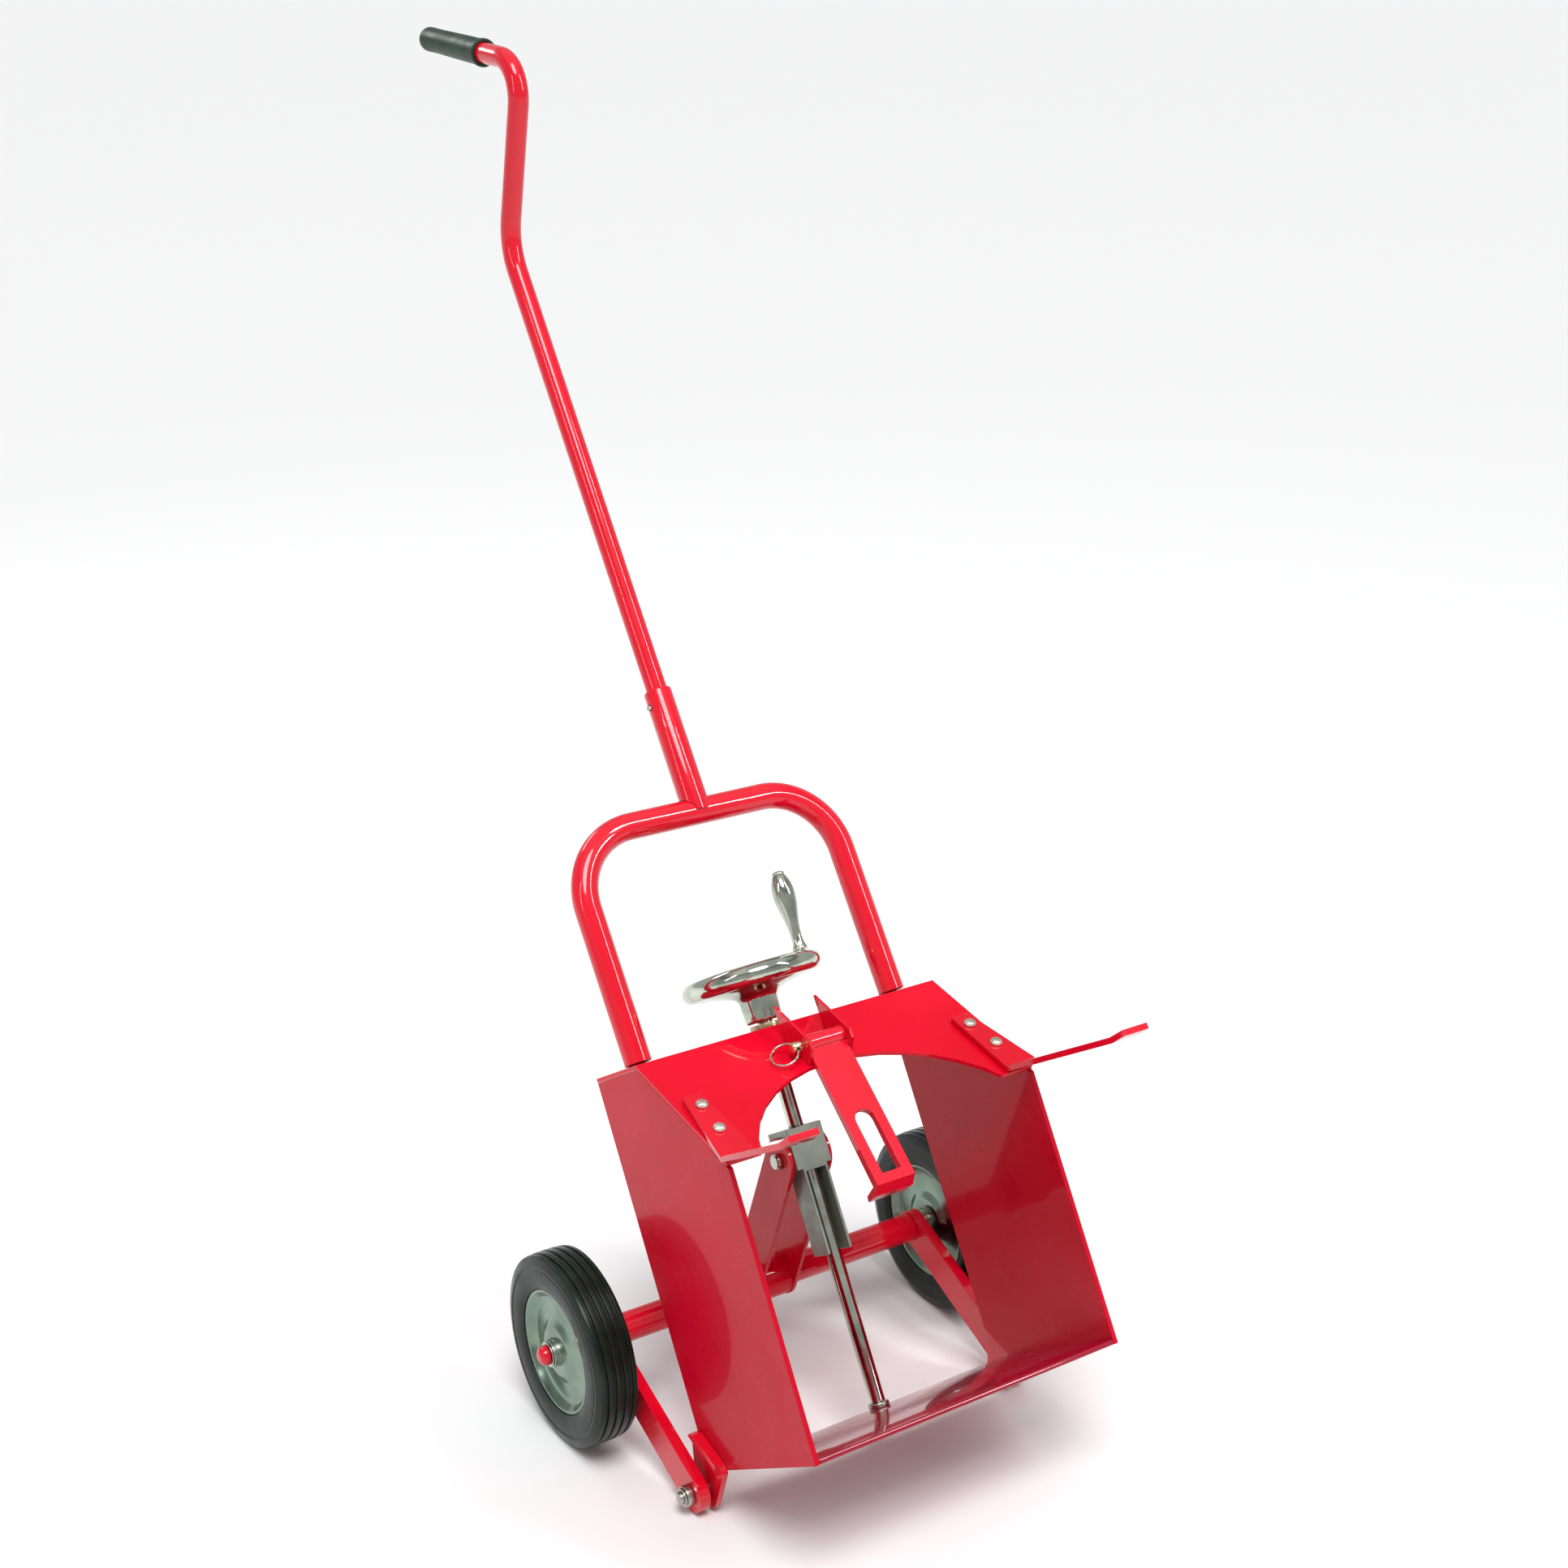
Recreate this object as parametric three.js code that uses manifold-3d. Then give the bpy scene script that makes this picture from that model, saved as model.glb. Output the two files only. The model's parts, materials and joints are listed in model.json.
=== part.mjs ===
// Hand truck with a screw-driven wheel linkage: a box frame of two side
// plates, a bottom shelf and an arched top plate, two forward prongs, a
// slotted hook strap, a tube loop with a plug-in pull handle, and a pair of
// wheels on swinging arms that a handwheel and screw raise and lower.
//
// Units are millimetres. The frame is drawn upright in its own space
// (x right, y back from the plates' front edges, z up along the plates) and
// the whole group is then leaned back by LEAN so that wheels and pivot
// brackets stand on z = 0.
import * as THREE from 'three';
import Module from 'manifold-3d';
import { mergeVertices } from 'three/addons/utils/BufferGeometryUtils.js';

const wasm = await Module();
wasm.setup();

// ---------------------------------------------------------------- dimensions
const LEAN = 31.5 * Math.PI / 180;   // frame leans back when standing
const WHEEL_R = 100;                 // tyre radius
const TYRE_IN = 209, TYRE_OUT = 255; // tyre faces, from the centre plane
const RIM_R = 64.4;                  // pressed rim radius
const AXLE = [333.5, 142.4];         // axle centre (y, z)
const PIVOT = [222.8, -18.9];        // arm pivot centre (y, z)
const NUT = [185.0, 260.0];          // link pivot on the nut carriage (y, z)
const AXLE_R = 15.5;                 // cross axle
const SPINDLE_R = 8.0;               // wheel spindle
const SLEEVE_BORE_R = 18.2;          // link sleeve, loose on the axle
const PLATE_OUT = 178, PLATE_T = 5;  // side plates
const FRONT_H = 280;                 // height of the plates' front edge
const FOLD = [126, 391];             // fold between arch slope and top deck
const BACK_Y = 219;                  // plates' back edge
const ARCH_T = 4;                    // arch plate thickness
const ARCH_R = 152, ARCH_S = -58;    // arch cut-out radius and its centre
const SHELF_BACK = 183;              // shelf depth
const SCREW_Y = 174.8, SCREW_R = 8;  // jack screw
const LOOP_X = 153, LOOP_R = 14;     // loop tube legs and tube radius
const LOOP_TILT = 4.37 * Math.PI / 180;
const LOOP_H = 236, LOOP_BEND = 74;  // loop height above the deck, bend radius
const HANDLE_R = 11.2;               // handle tube radius
const KNEE1 = [228.9, 1281.4], KNEE2 = [91.2, 1422.3], HANDLE_END = [268.5, 1550.4];
const GRIP_R = 13.8;
const STRAP_PIN = [73.0, 364.0];     // hook strap pin (y, z)
const GAP = 0.3;                     // clearance between touching pieces

// slope of the arch plate: along (s) and out of (h) its top face
const SL = Math.hypot(FOLD[0], FOLD[1] - FRONT_H);
const U = [FOLD[0] / SL, (FOLD[1] - FRONT_H) / SL];
const N = [-U[1], U[0]];
const onSlope = (s, h) => [s * U[0] + h * N[0], FRONT_H + s * U[1] + h * N[1]];

// ------------------------------------------------------------------- helpers
function clean(geo) {
  let g = geo.clone();
  for (const k of Object.keys(g.attributes)) if (k !== 'position') g.deleteAttribute(k);
  g = mergeVertices(g, 1e-4);
  const idx = g.index.array, p = g.attributes.position, out = [];
  let vol = 0;
  const a = new THREE.Vector3(), b = new THREE.Vector3(), c = new THREE.Vector3();
  for (let i = 0; i < idx.length; i += 3) {
    const [i0, i1, i2] = [idx[i], idx[i + 1], idx[i + 2]];
    if (i0 === i1 || i1 === i2 || i0 === i2) continue;
    a.fromBufferAttribute(p, i0); b.fromBufferAttribute(p, i1); c.fromBufferAttribute(p, i2);
    vol += a.dot(b.cross(c));
    out.push(i0, i1, i2);
  }
  if (vol < 0) for (let i = 0; i < out.length; i += 3) [out[i + 1], out[i + 2]] = [out[i + 2], out[i + 1]];
  g.setIndex(out);
  return g;
}
function solid(geo) {
  const g = clean(geo);
  return new wasm.Manifold(new wasm.Mesh({
    numProp: 3,
    vertProperties: new Float32Array(g.attributes.position.array),
    triVerts: new Uint32Array(g.index.array),
  }));
}
function geometry(man) {
  const m = man.getMesh(), g = new THREE.BufferGeometry();
  g.setAttribute('position', new THREE.BufferAttribute(new Float32Array(m.vertProperties), 3));
  g.setIndex(new THREE.BufferAttribute(new Uint32Array(m.triVerts), 1));
  return g;
}
const cut = (a, ...bs) => bs.reduce((m, b) => m.subtract(b), a);
const join = (a, ...bs) => bs.reduce((m, b) => m.add(b), a);

function shapeOf(pts) {
  const s = new THREE.Shape();
  pts.forEach(([x, y], i) => (i ? s.lineTo(x, y) : s.moveTo(x, y)));
  s.closePath();
  return s;
}
const extrude = (pts, depth) => new THREE.ExtrudeGeometry(shapeOf(pts), { depth, bevelEnabled: false });
// outline given as (y, z), thickness along x
function prismX(pts, x0, x1) {
  const g = extrude(pts, x1 - x0);
  g.applyMatrix4(new THREE.Matrix4().set(0, 0, 1, x0, 1, 0, 0, 0, 0, 1, 0, 0, 0, 0, 0, 1));
  return g;
}
// outline given as (x, y), thickness along z
function prismZ(pts, z0, z1) {
  const g = extrude(pts, z1 - z0);
  g.translate(0, 0, z0);
  return g;
}
function box(x0, x1, y0, y1, z0, z1) {
  const g = new THREE.BoxGeometry(x1 - x0, y1 - y0, z1 - z0);
  g.translate((x0 + x1) / 2, (y0 + y1) / 2, (z0 + z1) / 2);
  return g;
}
// profile of (radius, along) turned about a line through `at` with direction `dir`
function turn(profile, at, dir, seg = 32) {
  const facets = seg <= 8 ? seg : Math.round(seg * 0.25) * 2;
  const g = new THREE.LatheGeometry(profile.map(([r, t]) => new THREE.Vector2(r, t)), facets);
  const q = new THREE.Quaternion().setFromUnitVectors(new THREE.Vector3(0, 1, 0), new THREE.Vector3(...dir).normalize());
  g.applyQuaternion(q);
  g.translate(...at);
  return g;
}
const rod = (r, t0, t1, at, dir, seg = 32) => turn([[0, t0], [r, t0], [r, t1], [0, t1]], at, dir, seg);
const ringBar = (ri, ro, t0, t1, at, dir, seg = 32) => turn([[ri, t0], [ro, t0], [ro, t1], [ri, t1], [ri, t0]], at, dir, seg);
const alongX = [1, 0, 0], alongZ = [0, 0, 1];

// centre line with rounded corners, and a round bar swept along it
function rounded(points, radii, step = 11) {
  const v = points.map((p) => new THREE.Vector3(...p)), out = [v[0].clone()];
  for (let i = 1; i < v.length - 1; i++) {
    const a = v[i - 1].clone().sub(v[i]).normalize(), b = v[i + 1].clone().sub(v[i]).normalize();
    const half = a.angleTo(b) / 2, R = radii[i - 1], d = R / Math.tan(half);
    const bis = a.clone().add(b).normalize(), c = v[i].clone().add(bis.multiplyScalar(R / Math.sin(half)));
    const p0 = v[i].clone().add(a.clone().multiplyScalar(d)), p1 = v[i].clone().add(b.clone().multiplyScalar(d));
    const r0 = p0.clone().sub(c), r1 = p1.clone().sub(c), ang = r0.angleTo(r1);
    const n = Math.max(3, Math.ceil(ang * 180 / Math.PI / step));
    const axis = r0.clone().cross(r1).normalize();
    for (let k = 0; k <= n; k++) out.push(c.clone().add(r0.clone().applyAxisAngle(axis, ang * k / n)));
  }
  out.push(v[v.length - 1].clone());
  return out;
}
class Path extends THREE.Curve {
  constructor(pts) { super(); this.pts = pts; }
  getPoint(t, target = new THREE.Vector3()) {
    const n = this.pts.length - 1, f = Math.min(Math.max(t, 0), 1) * n, i = Math.min(Math.floor(f), n - 1);
    return target.copy(this.pts[i]).lerp(this.pts[i + 1], f - i);
  }
  getPointAt(u, target) { return this.getPoint(u, target); }
  getSpacedPoints() { return this.pts.map((p) => p.clone()); }
  getTangentAt(u, target = new THREE.Vector3()) {
    const n = this.pts.length - 1, i = Math.round(u * n);
    const a = this.pts[Math.max(i - 1, 0)], b = this.pts[i], c = this.pts[Math.min(i + 1, n)];
    const t1 = b.clone().sub(a), t2 = c.clone().sub(b);
    if (t1.lengthSq() > 0) t1.normalize();
    if (t2.lengthSq() > 0) t2.normalize();
    return target.copy(t1.add(t2)).normalize();
  }
}
function sweep(pts, r, seg = 20) {
  const s = new THREE.Shape();
  for (let i = 0; i < seg; i++) {
    const a = 2 * Math.PI * i / seg;
    if (i) s.lineTo(r * Math.cos(a), r * Math.sin(a)); else s.moveTo(r * Math.cos(a), r * Math.sin(a));
  }
  s.closePath();
  return new THREE.ExtrudeGeometry(s, { steps: pts.length - 1, bevelEnabled: false, extrudePath: new Path(pts), curveSegments: 1 });
}
function stretched(pts, extra) {
  const p = pts.map((q) => q.clone()), n = p.length - 1;
  p[0].add(p[0].clone().sub(p[1]).normalize().multiplyScalar(extra));
  p[n].add(p[n].clone().sub(p[n - 1]).normalize().multiplyScalar(extra));
  return p;
}
// outline around two circles
function capsule(c0, r0, c1, r1, n = 12) {
  const dx = c1[0] - c0[0], dy = c1[1] - c0[1], L = Math.hypot(dx, dy), base = Math.atan2(dy, dx);
  const off = Math.acos((r0 - r1) / L), out = [];
  for (let i = 0; i <= n; i++) { const a = base + off + (2 * Math.PI - 2 * off) * i / n; out.push([c0[0] + r0 * Math.cos(a), c0[1] + r0 * Math.sin(a)]); }
  for (let i = 0; i <= n; i++) { const a = base - off + 2 * off * i / n; out.push([c1[0] + r1 * Math.cos(a), c1[1] + r1 * Math.sin(a)]); }
  return out;
}
const arc = (cx, cy, r, a0, a1, n) => Array.from({ length: n + 1 }, (_, i) => {
  const a = (a0 + (a1 - a0) * i / n) * Math.PI / 180; return [cx + r * Math.cos(a), cy + r * Math.sin(a)];
});

// ---------------------------------------------------------------- the pieces
const RED = 0xc8101c;
const looks = {
  paint: { color: RED, roughness: 0.28, metalness: 0.1 },
  zinc: { color: 0x9aa39c, roughness: 0.38, metalness: 0.9 },
  chrome: { color: 0xc9cdca, roughness: 0.12, metalness: 1.0 },
  rubber: { color: 0x1a211d, roughness: 0.75, metalness: 0.0 },
  grip: { color: 0x1c2a22, roughness: 0.65, metalness: 0.0 },
  bronze: { color: 0xa88a52, roughness: 0.4, metalness: 0.9 },
  brass: { color: 0xd8c88a, roughness: 0.3, metalness: 0.9 },
};
const truck = new THREE.Group();
const upright = new THREE.Group();      // the frame's own upright space
upright.rotation.x = -LEAN;
truck.add(upright);
function add(name, shape, look) {
  const g = shape.isBufferGeometry ? clean(shape) : geometry(shape);
  const m = new THREE.Mesh(g, new THREE.MeshStandardMaterial(looks[look]));
  m.name = name;
  upright.add(m);
}

// floor height: wheels touch z = 0, and so do the pivot brackets
const FLOOR = WHEEL_R + AXLE[0] * Math.sin(LEAN) - AXLE[1] * Math.cos(LEAN);
const BRACKET_R = FLOOR - PIVOT[0] * Math.sin(LEAN) + PIVOT[1] * Math.cos(LEAN);

for (const [side, sg] of [['left', -1], ['right', 1]]) {
  const span = (a, b) => (sg > 0 ? [a, b] : [-b, -a]);

  // side plate, under the arch plate
  const drop = ARCH_T + GAP, k = U[1] / U[0];
  const z0 = FRONT_H - drop / U[0];
  const deckUnder = FOLD[1] - drop;
  const yFold = (deckUnder - z0) / k;
  add(`${side}_side_plate`, prismX([[0, 0], [0, z0], [yFold, deckUnder], [BACK_Y, deckUnder], [BACK_Y, 26], [187, -4]],
    ...span(PLATE_OUT - PLATE_T, PLATE_OUT)), 'paint');

  // pivot bracket: a lug hanging below the plate's chamfered lower back corner,
  // with a rib folded outwards along its top
  const lug = [[179.5, 3.8], [209, 34], [217, 36], [222, 31],
    ...arc(PIVOT[0], PIVOT[1], BRACKET_R, 38, -130, 14), [177, -6]];
  const flange = [[179.5, 3.8], [209, 34], [217, 36], [219.5, 33.5], [184, -1.5]];
  add(`${side}_pivot_bracket`, cut(
    join(solid(prismX(lug, ...span(178.3, 184.3))), solid(prismX(flange, ...span(183, 189.2)))),
    solid(rod(6.05, 150, 220, [0, ...PIVOT], [sg, 0, 0], 48))), 'paint');

  // pivot pin, collar and clip
  add(`${side}_pivot_pin`, turn([[0, 171], [8.5, 171], [10, 172.5], [10, 178], [5.97, 178], [5.97, 214], [5, 215.4], [0, 215.4]],
    [0, ...PIVOT], [sg, 0, 0], 48), 'zinc');
  add(`${side}_pivot_collar`, ringBar(6.27, 10.5, 202.4, 209.8, [0, ...PIVOT], [sg, 0, 0], 32), 'zinc');
  add(`${side}_pivot_clip`, ringBar(6.27, 9.0, 210.2, 212.0, [0, ...PIVOT], [sg, 0, 0], 24), 'zinc');

  // swinging arm
  add(`${side}_arm`, cut(
    solid(prismX(capsule(PIVOT, 19, AXLE, 17.5, 12), ...span(190, 202))),
    solid(rod(6.06, 180, 210, [0, ...PIVOT], [sg, 0, 0], 48)),
    solid(rod(10.3, 180, 210, [0, ...AXLE], [sg, 0, 0], 32))), 'paint');

  // wheel: tyre with four grooves, two pressed discs, hub, washer and cap
  const w = TYRE_OUT - TYRE_IN, rib = [];
  const top = (x) => WHEEL_R - 0.0045 * (x - (TYRE_IN + TYRE_OUT) / 2) ** 2;
  rib.push([65, TYRE_IN + 2], [74, TYRE_IN], [90, TYRE_IN], [96.5, TYRE_IN + 2.2]);
  for (let i = 0; i < 4; i++) {
    const x = TYRE_IN + w * (i + 1) / 5;
    rib.push([top(x - 1.7), x - 1.7], [top(x) - 3.2, x], [top(x + 1.7), x + 1.7]);
  }
  rib.push([96.5, TYRE_OUT - 2.2], [90, TYRE_OUT], [74, TYRE_OUT], [65, TYRE_OUT - 2], [65, TYRE_IN + 2]);
  add(`${side}_tyre`, turn(rib, [0, ...AXLE], [sg, 0, 0], 56), 'rubber');
  const disc = (f) => [[14.3, 15.5], [26, 14.5], [34, 10.2], [52, 8.2], [62.6, 16.2], [RIM_R, 16.2], [RIM_R, 0.3],
    [62.8, 0.3], [62.8, 14.0], [53.2, 6.2], [33.2, 8.2], [25.2, 12.5], [14.3, 13.5], [14.3, 15.5]].map(([r, t]) => [r, (TYRE_IN + TYRE_OUT) / 2 + f * (t > 1 ? t + 4 : t)]);
  add(`${side}_wheel_outer_disc`, turn(disc(1), [0, ...AXLE], [sg, 0, 0], 40), 'zinc');
  add(`${side}_wheel_inner_disc`, turn(disc(-1), [0, ...AXLE], [sg, 0, 0], 40), 'zinc');
  add(`${side}_wheel_hub`, ringBar(8.09, 14, 205.2, TYRE_OUT + 3.6, [0, ...AXLE], [sg, 0, 0], 48), 'zinc');
  add(`${side}_wheel_washer`, ringBar(8.3, 13, TYRE_OUT + 4.0, TYRE_OUT + 5.6, [0, ...AXLE], [sg, 0, 0], 24), 'zinc');
  add(`${side}_axle_cap`, turn([[0, 15.5], [5.5, 14.8], [8.8, 12.5], [10, 9.5], [10.4, 6.2], [8.35, 6.2], [8.35, 11], [0, 11]].map(([r, t]) => [r, TYRE_OUT + t]),
    [0, ...AXLE], [sg, 0, 0], 28), 'paint');

  // prong: bolted down the arch plate, bent forward and flared outwards, tip up
  const t = 6, h0 = GAP, h1 = GAP + t;
  const profile = [onSlope(96, h0), onSlope(96, h1), onSlope(3, h1), [-6, 287.4], [-148, 287.4], [-165, 291],
    [-166, 285], [-149, 281.4], [-2.5, 281.4], onSlope(1.2, h0)];
  const plan = [[148.5, 90], [164, 90], [183, 0], [203, -148], [200, -172], [172, -172], [166, -148], [147, 0]]
    .map(([x, y]) => [sg * x, y]);
  const holes = [[158, 78], [162, 40]].map(([x, s]) => {
    const [y, z] = onSlope(s, 0); return { at: [sg * x, y, z], dir: [0, ...N] };
  });
  add(`${side}_prong`, cut(solid(prismX(profile, ...span(140, 215))).intersect(solid(prismZ(plan, 260, 360))),
    ...holes.map((h) => solid(rod(3.3, -20, 20, h.at, h.dir, 20)))), 'paint');
  holes.forEach((h, i) => {
    const name = i ? 'lower' : 'upper';
    add(`${side}_${name}_prong_bolt`, turn([[0, -12], [3, -12], [3, h1 + 0.3], [6.2, h1 + 0.3], [6.2, h1 + 2.2], [4.6, h1 + 4.2], [2.2, h1 + 5.0], [0, h1 + 5.1]], h.at, h.dir, 20), 'zinc');
    add(`${side}_${name}_prong_nut`, cut(solid(rod(6.3, -9.4, -4.3, h.at, h.dir, 6)), solid(rod(3.3, -15, 0, h.at, h.dir, 24))), 'zinc');
  });
}

// arch plate: top deck and front slope in one folded sheet with the arch cut out
{
  const a = onSlope(0, -ARCH_T), under = FOLD[1] - ARCH_T, k = U[1] / U[0];
  const yIn = a[0] + (under - a[1]) / k;
  let m = solid(prismX([[0, FRONT_H], FOLD, [BACK_Y, FOLD[1]], [BACK_Y, under], [yIn, under], a], -PLATE_OUT, PLATE_OUT));
  const c = onSlope(ARCH_S, 0);
  m = cut(m, solid(rod(ARCH_R, -30, 30, [0, ...c], [0, ...N], 72)), solid(rod(12, 370, 400, [0, SCREW_Y, 0], alongZ, 32)));
  for (const sg of [-1, 1]) for (const [x, s] of [[158, 78], [162, 40]]) {
    const [y, z] = onSlope(s, 0);
    m = cut(m, solid(rod(3.3, -20, 20, [sg * x, y, z], [0, ...N], 20)));
  }
  add('arch_plate', m, 'paint');
}

// bottom shelf with a rolled front edge, and the screw's foot boss
add('shelf_plate', prismX([[0.8, 0], [0, 0.9], [0, 3.4], [0.9, 5.0], [2.8, 5.6], [SHELF_BACK, -1.5], [SHELF_BACK, -5.5], [20, 0]],
  -(PLATE_OUT - PLATE_T - GAP), PLATE_OUT - PLATE_T - GAP), 'paint');
add('lower_screw_boss', ringBar(5.08, 11, -0.6, 4.2, [0, SCREW_Y, 0], alongZ, 48), 'zinc');

// loop tube standing on the deck
const lt = (x, u) => [x, 169.0 + u * Math.sin(LOOP_TILT), 391.4 + u * Math.cos(LOOP_TILT)];
{
  const pts = rounded([lt(-LOOP_X, 1.5), lt(-LOOP_X, LOOP_H), lt(LOOP_X, LOOP_H), lt(LOOP_X, 1.5)], [LOOP_BEND, LOOP_BEND], 15);
  add('loop_tube', cut(solid(sweep(pts, LOOP_R, 14)), solid(sweep(stretched(pts, 3), LOOP_R - 2, 8))), 'paint');
}

// handle socket: a sleeve saddled on the loop's top bar
const HA = [0, 0.0658, 0.9978];       // handle axis direction
const hp = (z) => [0, 195.2 + 0.0659 * (z - 770.9), z];
{
  const bar = lt(0, LOOP_H);
  const m = cut(solid(turn([[0, -16], [15, -16], [15, 118], [14.2, 120], [0, 120]], hp(641), HA, 32)),
    solid(rod(11.5, 14, 130, hp(641), HA, 32)),
    solid(rod(LOOP_R + 0.45, -40, 40, bar, alongX, 40)),
    solid(rod(3.6, -25, 0, hp(744), alongX, 20)));
  const below = solid(box(-30, 30, bar[1] - 40, bar[1] + 40, 560, bar[2]));
  add('handle_socket', cut(m, below), 'paint');
}

// handle tube, grip, and the sprung lock button inside the tube's foot
{
  const pts = rounded([hp(657), [0, ...KNEE1], [0, ...KNEE2], [0, ...HANDLE_END]], [70, 40], 15);
  add('handle_tube', cut(solid(sweep(pts, HANDLE_R, 12)), solid(sweep(stretched(pts, 3), HANDLE_R - 1.8, 8)),
    solid(rod(3.6, -25, 0, hp(744), alongX, 20))), 'paint');
  const d = new THREE.Vector3(0, HANDLE_END[0] - KNEE2[0], HANDLE_END[1] - KNEE2[1]).normalize();
  const e = new THREE.Vector3(0, ...HANDLE_END), L = 138;
  const at = e.clone().add(d.clone().multiplyScalar(4.6 - L));
  add('handle_grip', turn([[0, L], [10, L], [12.6, L - 1.4], [13.2, L - 4], [13.0, L - 30], [GRIP_R, 40], [GRIP_R, 8], [15.0, 5], [15.0, 0],
    [11.5, 0], [11.5, L - 4.2], [0, L - 4.2]], at.toArray(), d.toArray(), 28), 'grip');
}
add('lock_button', turn([[0, -17.8], [2.2, -17.6], [3.2, -16.4], [3.2, -9.5], [0, -9.5]], hp(744), alongX, 20), 'zinc');
{
  const [, y] = hp(720);
  const m = solid(prismZ([[-6.1, 0], [-5.1, 0], [3.8, 50], [4.8, 50], [4.8, 0], [5.8, 0], [5.8, 52.5], [3.2, 52.5]], 0, 5));
  const g = geometry(m);
  // leaf spring: outline (x, z) hanging below the button, 5 wide in y
  g.applyMatrix4(new THREE.Matrix4().set(1, 0, 0, 0, 0, 0, 1, y - 2.5, 0, -1, 0, 752, 0, 0, 0, 1));
  add('lock_spring', clean(g), 'zinc');
}

// screw, upper bearing, handwheel
add('screw_rod', turn([[0, 0.2], [5, 0.2], [5, 4.8], [SCREW_R, 4.8], [SCREW_R, 376], [12, 376], [12, 382.4], [SCREW_R, 382.4],
  [SCREW_R, 443], [7, 444.5], [0, 444.5]], [0, SCREW_Y, 0], alongZ, 48), 'chrome');
add('upper_screw_bearing', turn([[8.08, 383], [11.7, 383], [11.7, 391.3], [17, 391.3], [17, 396.8], [8.08, 396.8], [8.08, 383]],
  [0, SCREW_Y, 0], alongZ, 48), 'bronze');
const RIM_C = [63.5, 445.6], RIM_T = 10.5, SPIN = [35, SCREW_Y - 50];
{
  const rim = arc(RIM_C[0], RIM_C[1], RIM_T, 240, 500, 9);
  const prof = [[8.3, 399], [18, 399], [19.4, 401], [20.4, 423], [27, 428.5], [46, 433], ...rim, [46, 439.5], [24, 434], [18, 432.6], [8.3, 432.6], [8.3, 399]];
  add('handwheel', cut(solid(turn(prof, [0, SCREW_Y, 0], alongZ, 44)), solid(rod(4.3, 425, 465, [...SPIN, 0], alongZ, 20))), 'chrome');
}
add('handwheel_nut', cut(solid(rod(14, 432.9, 440.5, [0, SCREW_Y, 0], alongZ, 6)), solid(rod(8.3, 420, 450, [0, SCREW_Y, 0], alongZ, 40))), 'zinc');
add('spinner_pin', turn([[0, 439.5], [4, 439.5], [4, 535.6], [6.4, 535.6], [6.4, 538], [4, 539.6], [0, 540]], [...SPIN, 0], alongZ, 40), 'zinc');
add('spinner_handle', turn([[4.08, 456.8], [7.6, 456.8], [8.0, 459.4], [6.0, 465], [5.6, 475], [7.2, 488], [10.0, 502], [11.4, 513], [11.0, 522],
  [9.0, 530], [6.8, 535.2], [4.08, 535.2], [4.08, 456.8]], [...SPIN, 0], alongZ, 40), 'chrome');

// nut carriage: threaded head block with a guide channel below, open in front
{
  let m = solid(box(-20.6, 20.6, 160, 200, 246, 288));
  m = join(m, solid(box(-14.5, 14.5, 160, 190, 158, 247)));
  m = cut(m, solid(box(-11.5, 11.5, 150, 187, 140, 243)), solid(rod(8.08, 200, 300, [0, SCREW_Y, 0], alongZ, 48)));
  for (const sg of [-1, 1]) m = cut(m, solid(rod(5.3, 13.5, 25, [0, ...NUT], [sg, 0, 0], 32)));
  add('nut_carriage', m, 'zinc');
}
for (const [side, sg] of [['left', -1], ['right', 1]]) {
  add(`${side}_link_bolt`, turn([[0, 14], [5, 14], [5, 25.3], [8.4, 25.3], [8.4, 29.4], [7, 31], [0, 31]], [0, ...NUT], [sg, 0, 0], 48), 'zinc');
}

// link: two plates welded to a sleeve that rides loosely on the axle
{
  const plate = (a, b) => solid(prismX(capsule(NUT, 23, AXLE, 23.5, 12), a, b));
  let m = join(plate(20.9, 24.9), plate(-24.9, -20.9), solid(rod(22.5, -24.9, 24.9, [0, ...AXLE], alongX, 40)));
  m = cut(m, solid(rod(SLEEVE_BORE_R, -30, 30, [0, ...AXLE], alongX, 40)), solid(rod(5.08, -30, 30, [0, ...NUT], alongX, 48)));
  add('link', m, 'paint');
}
// axle: cross bar with turned-down ends through the arms, and the spindles
add('axle', turn([[0, -264.5], [7, -264.5], [SPINDLE_R, -263.5], [SPINDLE_R, -204.8], [10, -204.8], [10, -189.6], [AXLE_R, -189.6],
  [AXLE_R, 189.6], [10, 189.6], [10, 204.8], [SPINDLE_R, 204.8], [SPINDLE_R, 263.5], [7, 264.5], [0, 264.5]], [0, ...AXLE], alongX, 48), 'paint');

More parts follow.
